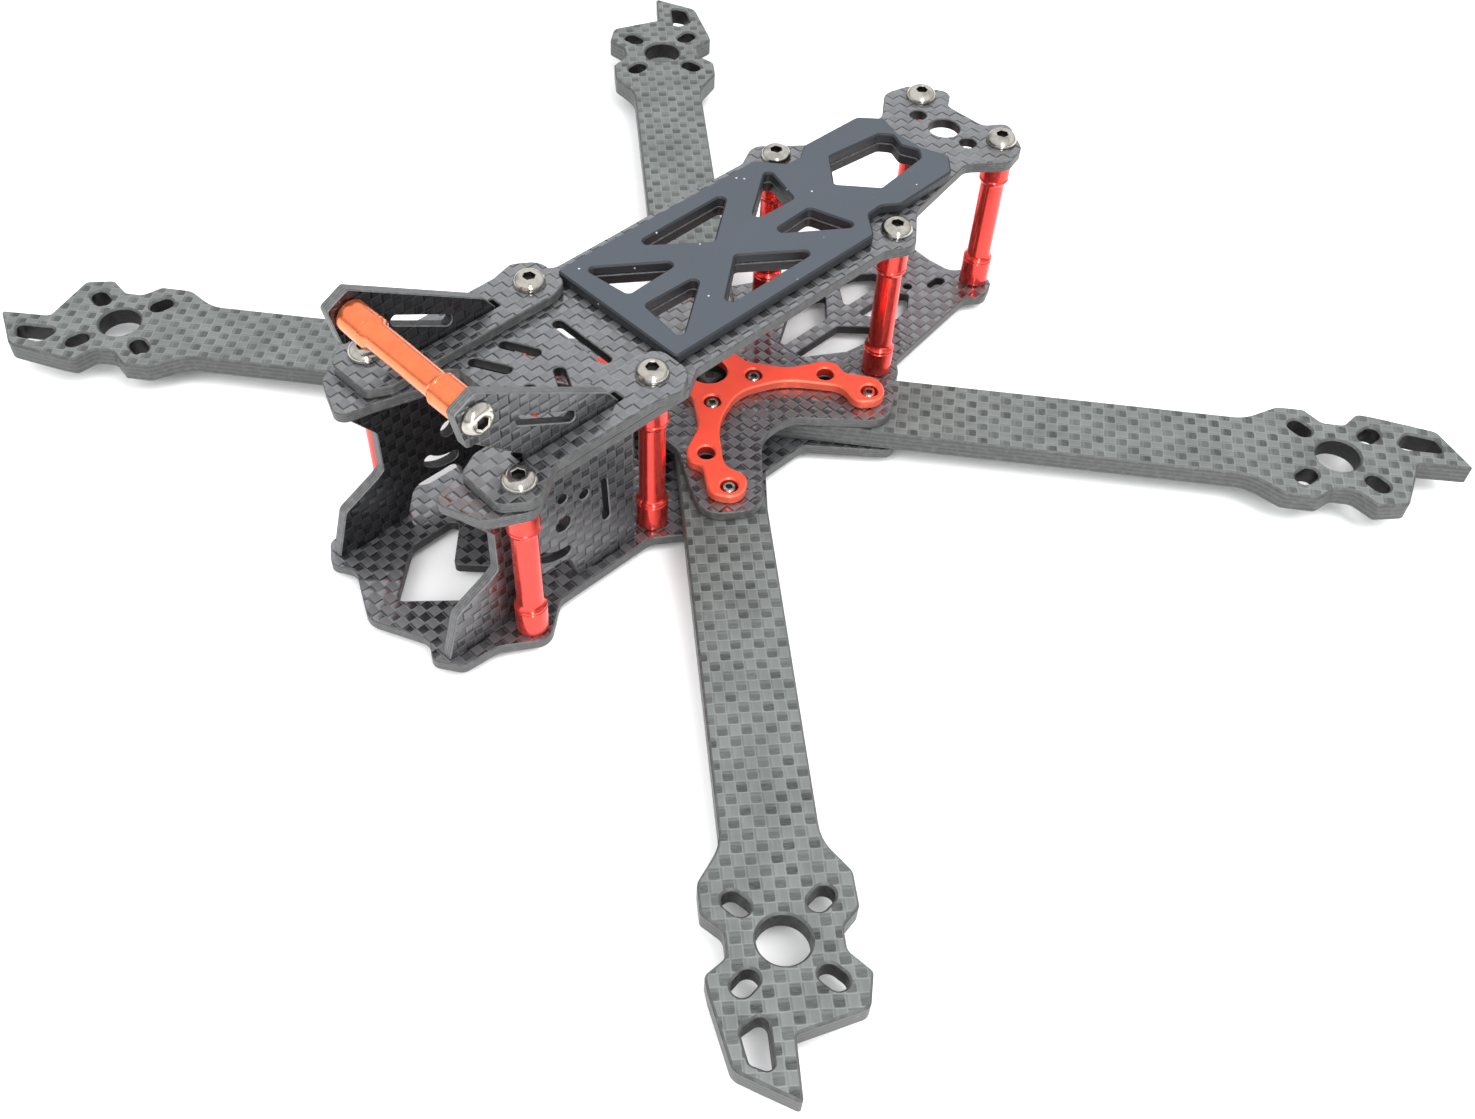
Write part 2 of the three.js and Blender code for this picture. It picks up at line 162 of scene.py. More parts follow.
def arc_slot(centre, radius, first, last, width, steps=16):
    """Slot bent about a centre, from one angle to the other."""
    def at(a, r, x=centre[0], y=centre[1]):
        return Vector((x + r * math.cos(a), y + r * math.sin(a)))

    turns = [first + (last - first) * k / steps for k in range(steps + 1)]
    caps = [math.pi * k / steps for k in range(1, steps)]
    points = [at(a, radius + width / 2) for a in turns]
    points += [at(last + a, width / 2, *at(last, radius)) for a in caps]
    points += [at(a, radius - width / 2) for a in reversed(turns)]
    points += [at(first + math.pi + a, width / 2, *at(first, radius)) for a in caps]
    return points


def oblong(x0, x1, y0, y1, radius=0.3):
    return rounded([(x0, y0, radius), (x1, y0, radius), (x1, y1, radius), (x0, y1, radius)])


def four_ways(point):
    x, y = point
    return [(x, y), (-x, y), (-x, -y), (x, -y)]


def two_ways(point):
    x, y = point
    return [(x, y), (-x, y)]


# ---- Meshes ----
def area_of(loop):
    return sum(a.x * b.y - b.x * a.y for a, b in zip(loop, loop[1:] + loop[:1])) / 2


def inset(loop, distance):
    """The loop moved to its left by a distance: into the material, for an outline or a hole."""
    moved = []
    count = len(loop)
    for i, here in enumerate(loop):
        into = (here - loop[i - 1]).normalized()
        out = (loop[(i + 1) % count] - here).normalized()
        n1 = Vector((-into.y, into.x))
        n2 = Vector((-out.y, out.x))
        moved.append(here + (n1 + n2) / max(0.5, 1 + n1.dot(n2)) * distance)
    return moved


def tidy(loop):
    """Drops points that lie on top of the one before."""
    return [p for i, p in enumerate(loop) if (p - loop[i - 1]).length > 1e-4]


def finish_mesh(name, vertices, faces, face_materials, materials, sharp=30):
    mesh = bpy.data.meshes.new(name)
    mesh.from_pydata([tuple(c * MM for c in v) for v in vertices], [], faces)
    for m in materials:
        mesh.materials.append(m)
    mesh.polygons.foreach_set("material_index", face_materials)
    mesh.validate()
    mesh.shade_smooth()
    mesh.set_sharp_from_angle(angle=math.radians(sharp))
    piece = bpy.data.objects.new(name, mesh)
    bpy.context.scene.collection.objects.link(piece)
    return piece


def plate_mesh(name, outline, holes, thickness, chamfer, lay, materials):
    """A flat plate with chamfered edges. lay turns (u, v, height) into a place in the object.

    materials are those of the upper face, the outer edge, the walls of the holes and the lower face.
    """
    loops = []
    for i, loop in enumerate([outline, *holes]):
        loop = tidy(loop)
        if (area_of(loop) > 0) != (i == 0):
            loop.reverse()
        loops.append(loop)
    rings = [(chamfer, 0.0), (0.0, chamfer), (0.0, thickness - chamfer), (chamfer, thickness)]
    vertices = []
    starts = []
    for loop in loops:
        starts.append(len(vertices))
        for distance, height in rings:
            vertices += [lay(p.x, p.y, height) for p in (inset(loop, distance) if distance else loop)]
    faces = []
    kinds = []
    for loop, first in zip(loops, starts):
        n = len(loop)
        for ring in range(len(rings) - 1):
            low = first + ring * n
            in_hole = first > 0 and ring == 1
            for k in range(n):
                nxt = (k + 1) % n
                faces.append((low + k, low + nxt, low + n + nxt, low + n + k))
                kinds.append(2 if in_hole else 1)
    cap_loops = [[Vector((p.x, p.y, 0)) for p in inset(loop, chamfer)] for loop in loops]
    flat = [(s, k) for s, loop in enumerate(loops) for k in range(len(loop))]
    for a, b, c in tessellate_polygon(cap_loops):
        corners = [flat[i] for i in (a, b, c)]
        pts = [cap_loops[s][k] for s, k in corners]
        if (pts[1] - pts[0]).cross(pts[2] - pts[0]).z < 0:
            corners.reverse()
        under = [starts[s] + k for s, k in corners]
        over = [starts[s] + 3 * len(loops[s]) + k for s, k in corners]
        faces.append(tuple(reversed(under)))
        faces.append(tuple(over))
        kinds += [3, 0]
    return finish_mesh(name, vertices, faces, kinds, materials)


def flat_at(z):
    return lambda u, v, h: (u, v, z + h)


def upright_at(x):
    return lambda u, v, h: (x + h, u, Z_MID + v)


def turned_mesh(name, profile, lay, materials, sides):
    """A tube turned about its own axis from a closed run of (radius, height) points; lay places it."""
    vertices = []
    for radius, height in profile:
        for k in range(sides):
            a = 2 * math.pi * k / sides
            vertices.append(lay(radius * math.cos(a), radius * math.sin(a), height))
    faces = []
    rows = len(profile)
    for row in range(rows):
        low = row * sides
        high = ((row + 1) % rows) * sides
        for k in range(sides):
            nxt = (k + 1) % sides
            faces.append((low + k, low + nxt, high + nxt, high + k))
    return finish_mesh(name, vertices, faces, [0] * len(faces), materials)


def adopt(piece, node):
    """Shows the piece in place of its CAD node."""
    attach(piece, "root")
    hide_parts(node)


# ---- Materials ----
class Graph:
    """Small helper that writes a material's nodes."""

    def __init__(self, name):
        self.material = bpy.data.materials.new(name)
        self.material.use_nodes = True
        self.nodes = self.material.node_tree.nodes
        self.links = self.material.node_tree.links
        self.bsdf = self.nodes["Principled BSDF"]

    def add(self, kind, **settings):
        node = self.nodes.new(kind)
        for key, value in settings.items():
            setattr(node, key, value)
        return node

    def put(self, socket, value):
        if isinstance(value, bpy.types.NodeSocket):
            self.links.new(value, socket)
        elif value is not None:
            socket.default_value = value

    def math(self, operation, a, b=None):
        node = self.add("ShaderNodeMath", operation=operation)
        self.put(node.inputs[0], a)
        if b is not None:
            self.put(node.inputs[1], b)
        return node.outputs[0]

    def mix(self, factor, a, b):
        node = self.add("ShaderNodeMix", data_type="FLOAT")
        self.put(node.inputs[0], factor)
        self.put(node.inputs[2], a)
        self.put(node.inputs[3], b)
        return node.outputs[0]

    def blend(self, factor, a, b):
        node = self.add("ShaderNodeMix", data_type="RGBA")
        self.put(node.inputs[0], factor)
        self.put(node.inputs[6], a)
        self.put(node.inputs[7], b)
        return node.outputs[2]

    def place(self):
        return self.add("ShaderNodeTexCoord").outputs["Object"]

    def noise(self, vector, scale, detail=3.0, rough=0.5):
        node = self.add("ShaderNodeTexNoise")
        self.put(node.inputs["Vector"], vector)
        node.inputs["Scale"].default_value = scale
        node.inputs["Detail"].default_value = detail
        node.inputs["Roughness"].default_value = rough
        return node.outputs["Fac"]

    def span(self, value, low, high, to_low=0.0, to_high=1.0):
        node = self.add("ShaderNodeMapRange")
        self.put(node.inputs["Value"], value)
        node.inputs["From Min"].default_value = low
        node.inputs["From Max"].default_value = high
        node.inputs["To Min"].default_value = to_low
        node.inputs["To Max"].default_value = to_high
        return node.outputs["Result"]

    def bump(self, height, distance, strength, normal=None):
        node = self.add("ShaderNodeBump")
        self.put(node.inputs["Height"], height)
        node.inputs["Distance"].default_value = distance
        node.inputs["Strength"].default_value = strength
        if normal is not None:
            self.put(node.inputs["Normal"], normal)
        return node.outputs["Normal"]

    def surface(self, **values):
        for key, value in values.items():
            self.put(self.bsdf.inputs[key.replace("_", " ")], value)
        return self.material


def dome(g, value):
    """1 in the middle of a 0 to 1 span, 0 at its ends."""
    centred = g.math("MULTIPLY_ADD", value, 2.0)
    centred.node.inputs[2].default_value = -1.0
    squared = g.math("MULTIPLY", centred, centred)
    return g.math("SUBTRACT", 1.0, squared)


def shade(tone, factor):
    """The tone made darker or lighter, no channel above 1."""
    return (*[min(1.0, c * factor) for c in tone[:3]], 1)


def tones(*levels, tint=(0.99, 1.0, 1.04)):
    return [(*[level * c for c in tint], 1) for level in levels]


def weave(name, angle, upright, pitch, cloth_tones, gloss, metal=0.85, cut=0.8, soft=0.2, mottle=1.0,
          rim=(0.25, 0.50)):
    """Plain-woven carbon cloth. pitch is the cell's length along and across the warp, in millimetres.

    The weft cells are glossy and mirror what stands beside them; the warp cells are matt. gloss is the
    roughness of both, cut the darkness of the joints (partly painted shade), soft how gently a weft cell
    fades out, mottle the unevenness and rim the band, from a cell's border inwards, over which its painted
    highlight rim fades.
    """
    warp_tone, weft_tone, pale_and_highlight, joint = cloth_tones
    g = Graph(name)
    where = g.place()
    if upright:
        parts = g.add("ShaderNodeSeparateXYZ")
        g.put(parts.inputs[0], where)
        joined = g.add("ShaderNodeCombineXYZ")
        g.put(joined.inputs[0], parts.outputs[1])
        g.put(joined.inputs[1], parts.outputs[2])
        where = joined.outputs[0]
    wobble = g.add("ShaderNodeTexNoise")
    g.put(wobble.inputs["Vector"], where)
    wobble.inputs["Scale"].default_value = 110.0
    wobble.inputs["Detail"].default_value = 1.0
    shifted = g.add("ShaderNodeVectorMath", operation="MULTIPLY_ADD")
    g.put(shifted.inputs[0], wobble.outputs["Color"])
    shifted.inputs[1].default_value = (0.0005, 0.0005, 0.0)
    g.put(shifted.inputs[2], where)
    turned = g.add("ShaderNodeMapping")
    turned.inputs["Rotation"].default_value = (0, 0, -angle)
    g.put(turned.inputs["Vector"], shifted.outputs[0])
    scaled = g.add("ShaderNodeVectorMath", operation="MULTIPLY")
    g.put(scaled.inputs[0], turned.outputs[0])
    scaled.inputs[1].default_value = (1 / (pitch[0] * MM), 1 / (pitch[1] * MM), 0.0)
    uv = g.add("ShaderNodeSeparateXYZ")
    g.put(uv.inputs[0], scaled.outputs[0])
    u, v = uv.outputs[0], uv.outputs[1]
    iu, iv = g.math("FLOOR", u), g.math("FLOOR", v)
    fu, fv = g.math("FRACT", u), g.math("FRACT", v)
    warp = g.math("GREATER_THAN", g.math("FLOORED_MODULO", g.math("ADD", iu, iv), 2.0), 0.5)
    across = g.mix(warp, fu, fv)
    along = g.mix(warp, fv, fu)
    height = g.math("ADD", g.math("MULTIPLY", g.math("POWER", dome(g, across), 0.5), 0.4),
                    g.math("MULTIPLY", g.math("POWER", dome(g, along), 0.6), 0.6))
    cell = g.add("ShaderNodeTexWhiteNoise", noise_dimensions="2D")
    index = g.add("ShaderNodeCombineXYZ")
    g.put(index.inputs[0], iu)
    g.put(index.inputs[1], iv)
    g.put(cell.inputs["Vector"], index.outputs[0])
    luck = cell.outputs["Value"]
    # fine fibres along each tow
    fibre = g.add("ShaderNodeCombineXYZ")
    g.put(fibre.inputs[0], g.math("MULTIPLY", g.mix(warp, u, v), 24.0))
    g.put(fibre.inputs[1], g.math("MULTIPLY", g.mix(warp, v, u), 1.3))
    g.put(fibre.inputs[2], g.math("MULTIPLY", warp, 7.0))
    strands = g.noise(fibre.outputs[0], 1.0, 2.0)
    patches = g.noise(where, 170.0, 2.0)
    # each float is a rounded patch whose colour fades out towards its cell's border
    patch = g.span(g.math("MULTIPLY", dome(g, fu), dome(g, fv)), 0.04, 0.04 + soft * 2, 0.0, 1.0)
    tint = g.blend(g.math("MULTIPLY", patch, g.math("SUBTRACT", 1.0, warp)), warp_tone, weft_tone)
    tint = g.blend(g.span(luck, 0.0, 1.0, 0.0, 0.30 * mottle), tint, pale_and_highlight)
    tint = g.blend(g.span(strands, 0.35, 0.7, 0.0, 0.30 * mottle), tint, pale_and_highlight)
    # painted highlight: a light rim round the border of every cell, in the pale tone
    border = g.span(g.math("MINIMUM", dome(g, fu), dome(g, fv)), *rim, 1.0, 0.0)
    tint = g.blend(g.math("MULTIPLY", border, 0.45 + 0.1 * mottle), tint, pale_and_highlight)
    # each tow dips under its neighbour: the dark joint is real, but it is drawn along one side of each tow
    # only, as painted shade, with a painted highlight band beside it, in steps from cell to cell
    shaded_joint_side = g.span(across, 0.10, 0.24, 1.0, 0.0)
    rise = g.span(across, 0.22, 0.42, 1.0, 0.0)
    ends = g.span(dome(g, along), 0.0, 0.25)
    uneven = g.math("ADD", g.math("MULTIPLY", patches, 0.7), g.math("MULTIPLY", luck, 0.3))
    broken = g.span(uneven, 0.30, 0.55, 0.35, 1.0)
    # painted highlight: a light band beside the joint's painted shade
    tint = g.blend(g.math("MULTIPLY", rise, 0.35), tint, pale_and_highlight)
    joint_with_painted_shade = g.math("MULTIPLY", g.math("MULTIPLY", shaded_joint_side, ends), g.math("MULTIPLY", broken, cut))
    tint = g.blend(joint_with_painted_shade, tint, joint)
    tint = g.blend(g.span(patches, 0.4, 0.75, 0.0, 0.22 * mottle), tint, shade(weft_tone, 0.55))
    normal = g.bump(height, 0.00014, 0.6)
    normal = g.bump(strands, 0.00002, 0.2, normal)
    rough = g.mix(warp, gloss[0], gloss[1])
    rough = g.math("ADD", rough, g.span(strands, 0.3, 0.7, -0.03, 0.08))
    rough = g.math("MAXIMUM", rough, g.math("MULTIPLY", border, 0.45))
    return g.surface(Base_Color=tint, Metallic=metal, Roughness=rough, Normal=normal)


def cut_edge(name, axis, pitch, tone, dark_ply=0.55):
    """The milled edge of a laminate: fine ply lines and scratches from the cutter."""
    g = Graph(name)
    where = g.place()
    parts = g.add("ShaderNodeSeparateXYZ")
    g.put(parts.inputs[0], where)
    through = parts.outputs[axis]
    grain = g.noise(where, 900.0, 3.0, 0.6)
    wavy = g.math("ADD", g.math("MULTIPLY", through, 1 / (pitch * MM)), g.math("MULTIPLY", grain, 0.6))
    lines = g.math("SINE", g.math("MULTIPLY", wavy, 2 * math.pi))
    tint = g.blend(g.span(lines, -1.0, 1.0, 0.0, 1.0), tone, shade(tone, dark_ply))
    tint = g.blend(g.span(grain, 0.45, 0.75, 0.0, 0.5), tint, shade(tone, 1.9))
    normal = g.bump(g.math("ADD", g.math("MULTIPLY", lines, 0.3), grain), 0.00004, 0.5)
    return g.surface(Base_Color=tint, Metallic=0.15, Roughness=g.span(grain, 0.3, 0.7, 0.38, 0.58),
                     Normal=normal)


def anodised(name, tone, rough, grit, lathe_axis=None, metal=1.0):
    """Dyed anodised aluminium: fine grit, or turning marks round an axis."""
    g = Graph(name)
    where = g.place()
    fine = g.noise(where, grit, 2.0)
    cloud = g.noise(where, 160.0, 2.0)
    tint = g.blend(g.span(fine, 0.35, 0.7, 0.0, 0.35), tone, shade(tone, 1.35))
    tint = g.blend(g.span(cloud, 0.4, 0.7, 0.0, 0.25), tint, shade(tone, 0.72))
    height = fine
    if lathe_axis is not None:
        parts = g.add("ShaderNodeSeparateXYZ")
        g.put(parts.inputs[0], where)
        marks = g.add("ShaderNodeCombineXYZ")
        g.put(marks.inputs[0], g.math("MULTIPLY", parts.outputs[lathe_axis], 9000.0))
        height = g.noise(marks.outputs[0], 1.0, 2.0)
    normal = g.bump(height, 0.00001, 0.35)
    return g.surface(Base_Color=tint, Metallic=metal,
                     Roughness=g.span(fine, 0.3, 0.7, rough - 0.05, rough + 0.08), Normal=normal)


def steel(name, tone, rough):
    """Plated screw steel with darker clouds."""
    g = Graph(name)
    where = g.place()
    scuffs = g.noise(where, 1400.0, 3.0, 0.65)
    cloud = g.noise(where, 420.0, 2.0)
    tint = g.blend(g.span(cloud, 0.42, 0.68, 0.0, 0.75), tone, shade(tone, 0.40))
    return g.surface(Base_Color=tint, Metallic=1.0,
                     Roughness=g.span(scuffs, 0.3, 0.7, rough - 0.08, rough + 0.14),
                     Normal=g.bump(scuffs, 0.00001, 0.4))


def slate_pad(name, tone, rough=0.62):
    """Matt anti-slip sheet with specks of dust."""
    g = Graph(name)
    where = g.place()
    skin = g.noise(where, 1600.0, 3.0, 0.6)
    cloud = g.noise(where, 60.0, 3.0)
    dust = g.add("ShaderNodeTexVoronoi", feature="F1")
    g.put(dust.inputs["Vector"], where)
    dust.inputs["Scale"].default_value = 430.0
    pick = g.math("GREATER_THAN", g.noise(where, 150.0, 1.0), 0.56)
    speck = g.math("MULTIPLY", g.math("LESS_THAN", dust.outputs["Distance"], 0.085), pick)
    tint = g.blend(g.span(skin, 0.35, 0.7, 0.0, 0.22), tone, shade(tone, 1.5))
    tint = g.blend(g.span(cloud, 0.35, 0.7, 0.0, 0.22), tint, shade(tone, 0.75))
    tint = g.blend(g.math("MULTIPLY", speck, 0.8), tint, (0.50, 0.54, 0.60, 1))
    return g.surface(Base_Color=tint, Roughness=g.span(skin, 0.3, 0.7, rough - 0.06, rough + 0.1),
                     Normal=g.bump(skin, 0.00003, 0.4), Specular_IOR_Level=0.45)


# tones of a cloth: warp cells, weft cells, a pale tone for random lightening and for the painted
# highlights on the cells' rims, the dark joints between tows
CLOTH_PITCH = (1.85, 1.85)
ARM_CLOTH_PITCH = (2.1, 1.9)
PLATE_TONES = tones(0.262, 0.240, 0.345, 0.007)
ARM_TONES = tones(0.185, 0.040, 0.30, 0.016, tint=(0.96, 1.03, 0.99))
CARBON = weave("carbon_plate", 0.0, False, CLOTH_PITCH, PLATE_TONES, (0.12, 0.50), metal=0.95)
# painted shade: the upright faces of the cage plates take a darker copy of the plate carbon
CARBON_UPRIGHT_SHADED = weave("carbon_upright_painted_shade", 0.0, True, CLOTH_PITCH, tones(0.120, 0.115, 0.18, 0.007),
                       (0.16, 0.40))
# painted shade: the inner faces, between the two cage plates, take a near-black copy of the carbon
CARBON_INNER_SHADED = weave("carbon_inner_painted_shade", 0.0, True, CLOTH_PITCH, tones(0.062, 0.056, 0.085, 0.005),
                     (0.16, 0.36))
ARM_CLOTH = {
    rising: weave(name, angle, False, ARM_CLOTH_PITCH, ARM_TONES, (0.36, 0.50),
                  metal=0.6, cut=0.30, soft=0.12, mottle=1.1, rim=(0.10, 0.32))
    for rising, name, angle in ((True, "carbon_arm_rising", ARM_ANGLE),
                                (False, "carbon_arm_falling", -ARM_ANGLE))
}
EDGE = cut_edge("laminate_edge", 2, 0.5, (0.085, 0.086, 0.085, 1))
EDGE_ARM = cut_edge("laminate_edge_arm", 2, 0.9, (0.075, 0.078, 0.077, 1), 0.6)
# painted shade: the walls of the holes take a much darker copy of the milled laminate edge
WALL_SHADED = cut_edge("laminate_hole_wall_painted_shade", 2, 0.5, (0.012, 0.012, 0.013, 1))
EDGE_UPRIGHT = cut_edge("laminate_edge_upright", 0, 0.5, (0.11, 0.112, 0.113, 1))
NUT_RED = anodised("red_plate_face", (0.98, 0.085, 0.045, 1), 0.50, 1500.0, metal=0.30)
# painted shade: the bore and the other hole walls of the red plate take a darker copy of its red
NUT_BORE_SHADED = anodised("red_plate_bore_painted_shade", (0.55, 0.035, 0.025, 1), 0.35, 1500.0, metal=0.5)
NUT_EDGE = anodised("red_plate_edge", (0.92, 0.13, 0.075, 1), 0.35, 1500.0, metal=0.5)
STANDOFF_RED = anodised("standoff_red", (0.82, 0.070, 0.055, 1), 0.18, 800.0, 2, 0.85)
BAR_RED = anodised("bar_red", (0.92, 0.21, 0.085, 1), 0.18, 800.0, 0, 0.85)
STEEL = steel("screw_steel", (0.56, 0.53, 0.48, 1), 0.17)
# painted shade: the hex socket and the screw's tip take a dark copy of the screw steel
SOCKET_SHADED = steel("socket_steel_painted_shade", (0.10, 0.095, 0.09, 1), 0.35)
PAD = slate_pad("pad_face", (0.052, 0.061, 0.074, 1))
PAD_EDGE = slate_pad("pad_edge", (0.016, 0.018, 0.022, 1), 0.5)

# ---- Arms ----
MOTOR = WHEELBASE / 2
COS, SIN = math.cos(ARM_ANGLE), math.sin(ARM_ANGLE)
ARM_CORNERS = [
    ((SEAM + ARM_HALF_WIDTH * SIN) / COS - MOTOR, -ARM_HALF_WIDTH, 0),
    (-16, -ARM_HALF_WIDTH, 8), (-9.9, -11.5, 2.5), (-4.9, -11.5, 1.2), (-1.9, -8.4, 2), (2.1, -8.4, 2),
    (4.7, -11.8, 1.2), (7.5, -11.5, 4), (18.7, -9.3, 2.4), (24.0, -0.3, 0.5), (14.2, -0.1, 1),
    (11.1, 10.7, 1.5), (5.7, 11.9, 1), (2.2, 8.7, 2), (-1.5, 8.7, 2), (-4.4, 11.5, 1.5), (-10.4, 11.4, 2.5),
    (-16, ARM_HALF_WIDTH, 8),
    ((SEAM + ARM_HALF_WIDTH * COS) / SIN - MOTOR, ARM_HALF_WIDTH, 0),
    (SEAM * (COS + SIN) - MOTOR, SEAM * (SIN - COS), 0),
]
FOOT_WINDOW = [(10.4, -3.6, 1.2), (19.6, -3.6, 1.0), (18.0, -6.9, 1.0), (12.9, -7.8, 1.4)]


def arm_piece(name, side_x, side_y):
    """One arm, from an outline drawn along the arm with the motor's axis at (0, 0)."""
    def lay(points):
        return [Vector((side_x * ((p.x + MOTOR) * COS + p.y * SIN),
                        side_y * ((p.x + MOTOR) * SIN - p.y * COS))) for p in points]

    near, far, width = MOTOR_SLOT
    holes = [circle((0, 0), SHAFT_HOLE, 64), rounded(FOOT_WINDOW)]
    for k in range(4):
        a = math.pi / 4 + k * math.pi / 2
        c, s = math.cos(a), math.sin(a)
        holes.append(slot((near * c, near * s), (far * c, far * s), width))
    holes = [lay(h) for h in holes]
    holes += [circle((side_x * x, side_y * y), CLEARANCE) for x, y in CORE_SCREWS]
    cloth = ARM_CLOTH[side_x * side_y > 0]
    piece = plate_mesh(name + "_laminate", lay(rounded(ARM_CORNERS)), holes, ARM, ARM_BEVEL,
                       flat_at(Z_ARM), [cloth, EDGE_ARM, WALL_SHADED, cloth])
    adopt(piece, name)


for where, (sx, sy) in CORNERS.items():
    arm_piece("arm_" + where, sx, sy)

# ---- Camera cage plates and their horns ----
BOTTOM_TABS = [(-71, -66), (-43, -37)]
HORN_SLOT = (-56.2, -35.6)
HORN_NECK = (-54.6, -36.4)
CAGE_TOP = Z_TOP - Z_MID
CAGE_BOTTOM = Z_ARM - Z_MID
DECK_TOP = Z_PAD_TOP - Z_MID


def tab(span):
    """Corners of a tab that stands in the bottom plate."""
    low, high = span
    foot = CAGE_BOTTOM - PLATE
    return [(high, CAGE_BOTTOM, 0), (high, foot, 0), (low, foot, 0), (low, CAGE_BOTTOM, 0)]


CAGE = [
    (-67.6, CAGE_TOP, 0.4), (HORN_NECK[0], CAGE_TOP, 0), (HORN_NECK[0], DECK_TOP, 0.5), (-64.2, 38.5, 0.8),
    (-65.6, 38.1, 1.0), (-67.2, 45.8, 0.8), (-63.0, 47.8, 0.8), (-38.4, 32.8, 2), (HORN_NECK[1], DECK_TOP, 0),
    (HORN_NECK[1], CAGE_TOP, 0), (-33.2, CAGE_TOP, 0.4), (-33.2, CAGE_BOTTOM, 0.4), *tab(BOTTOM_TABS[1]),
    (-46.2, CAGE_BOTTOM, 0), (-48, 1.8, 2.5), (-57.4, 1.8, 2.5), (-59.4, CAGE_BOTTOM, 0),
    *tab(BOTTOM_TABS[0]),
    (-74.2, CAGE_BOTTOM, 0.4), (-71.3, 5.2, 1.5), (-64.2, 8.5, 1), (-62.7, 9.6, 0.6),
    (-62.7, 18, 1.5), (-67.7, 24.4, 1),
]
CAMERA_PIVOT = (-48.8, 10.4)
CAGE_HOLES = [
    circle(HORN_BAR, CLEARANCE),
    rounded([(-57.3, 39.7, 0.8), (-45.2, 33.2, 0.8), (-45.3, 31.0, 0.8), (-56.2, 37.1, 0.8)]),
    circle(CAMERA_PIVOT, CLEARANCE),
    arc_slot(CAMERA_PIVOT, 6.7, math.radians(224), math.radians(272), 2.1),
    slot((-39.6, 5.8), (-40.0, 14.0), 1.6),
    circle((-44.2, 14.2), 1.0, 24),
    circle((-48.7, 16.2), 1.0, 24),
]
for hand, x, to_left, to_right in (("left", CAGE_INNER, CARBON_UPRIGHT_SHADED, CARBON_INNER_SHADED),
                                   ("right", -CAGE_INNER - PLATE, CARBON_INNER_SHADED, CARBON_UPRIGHT_SHADED)):
    node = "cage_plate_" + hand
    piece = plate_mesh(node + "_laminate", rounded(CAGE), CAGE_HOLES, PLATE, PLATE_BEVEL, upright_at(x),
                       [to_left, EDGE_UPRIGHT, WALL_SHADED, to_right])
    adopt(piece, node)


# ---- Bottom plate ----
def tab_slots(spans):
    """Slots in a level plate for the tabs or horns of both cage plates."""
    near, far = CAGE_INNER - FIT, CAGE_INNER + PLATE + FIT
    cuts = []
    for low, high in spans:
        cuts.append(oblong(near, far, low - FIT, high + FIT))
        cuts.append(oblong(-far, -near, low - FIT, high + FIT))
    return cuts


POST_HOLES = [circle(p, CLEARANCE) for post in POSTS.values() for p in two_ways(post)]
CORE_HOLES = [circle(p, CLEARANCE) for screw in CORE_SCREWS for p in four_ways(screw)]
LEVEL_CARBON = [CARBON, EDGE, WALL_SHADED, CARBON]
BOTTOM_LEFT = [
    (10.3, -73.8, 2.5), (14.2, -76.2, 1.8), (18.7, -73.2, 2), (19.2, -66.4, 5), (23.9, -59, 3.2),
    (18.4, -52.2, 3), (18.4, -31.5, 4), (21.5, -27, 3), (32.8, -16.4, 2), (20.4, -4.9, 1.5),
    (20.4, 4.9, 1.5), (32.8, 16.3, 2), (21.5, 27.6, 4), (18.8, 33, 3), (16.1, 35.4, 3),
    (12.9, 59.6, 3), (15.4, 62.8, 2.5), (13.4, 67.4, 2.5), (8.2, 69.4, 2), (5.2, 64.2, 3),
]
NOSE_OPENING = [
    (0, -72.8, 1), (8.2, -63.4, 2), (8.3, -52.6, 1.2), (0, -60.6, 1), (-8.3, -52.6, 1.2), (-8.2, -63.4, 2),
]
REAR_WINDOWS = [
    *pair([(1.6, 20.2, 0.8), (1.6, 34.4, 0.8), (6.9, 39.7, 0.8), (8.6, 34.4, 1.2), (7.8, 30, 1.2)]),
    *pair([(1.5, 39.6, 0.8), (8.0, 44.6, 0.8), (7.2, 48.6, 1), (4.4, 52.3, 0.8), (1.5, 49.6, 0.8)]),
]
TAIL_HOLES = [
    slot((5.8, 57.9), (5.8, 60.1), 2), slot((-5.8, 57.9), (-5.8, 60.1), 2),
    circle((2.6, 53.9), 0.9, 24), circle((-2.6, 53.9), 0.9, 24),
]
bottom = plate_mesh(
    "bottom_plate_laminate", rounded([(0, -78.8, 4), *BOTTOM_LEFT, (0, 63.8, 0), *mirror_x(BOTTOM_LEFT)]),
    [rounded(NOSE_OPENING), *REAR_WINDOWS, *TAIL_HOLES, *tab_slots(BOTTOM_TABS), *POST_HOLES, *CORE_HOLES],
    PLATE, PLATE_BEVEL, flat_at(Z_BOTTOM), LEVEL_CARBON)
adopt(bottom, "bottom_plate")


# ---- Mid plate and press-nut plate ----
def around(quarter):
    return both_sides([*quarter, *mirror_y(quarter)])


MID_QUARTER = [(10.1, -17.2, 4), (17.6, -21.6, 4), (24.6, -25, 4.6), (30.6, -16.2, 4.4), (17.6, -3.6, 6)]
mid = plate_mesh("mid_plate_laminate", rounded(around(MID_QUARTER)),
                 [circle((0, 0), SHAFT_HOLE, 64), *CORE_HOLES],
                 PLATE, PLATE_BEVEL, flat_at(Z_MID), LEVEL_CARBON)
adopt(mid, "mid_plate")

